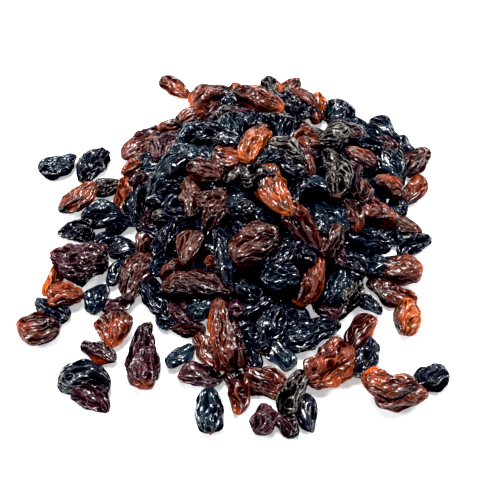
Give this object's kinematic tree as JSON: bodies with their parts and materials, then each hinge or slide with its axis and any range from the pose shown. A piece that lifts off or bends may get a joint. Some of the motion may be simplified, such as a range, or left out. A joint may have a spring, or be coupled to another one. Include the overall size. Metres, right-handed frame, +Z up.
{
  "type": "heap of raisins",
  "caption": "Loose heap of dark seedless raisins tipped out on a flat surface, with some raisins lying apart around it.",
  "frame": {"origin": "on the surface that the heap lies on, near the middle of the spread", "axes": "+Z up out of the surface, -Y towards the side that the raisins have rolled out to most"},
  "size_m": [0.1418, 0.1477, 0.0347],
  "materials": {
    "raisins": "wrinkled dried grape skin, blue-black to red-brown, satin to glossy"
  },
  "bodies": {
    "root": {"heap": "raisins", "loose_01": "raisins", "loose_02": "raisins", "loose_03": "raisins", "loose_04": "raisins", "loose_05": "raisins", "loose_06": "raisins", "loose_07": "raisins", "loose_08": "raisins", "loose_09": "raisins", "loose_10": "raisins"}
  },
  "joints": []
}
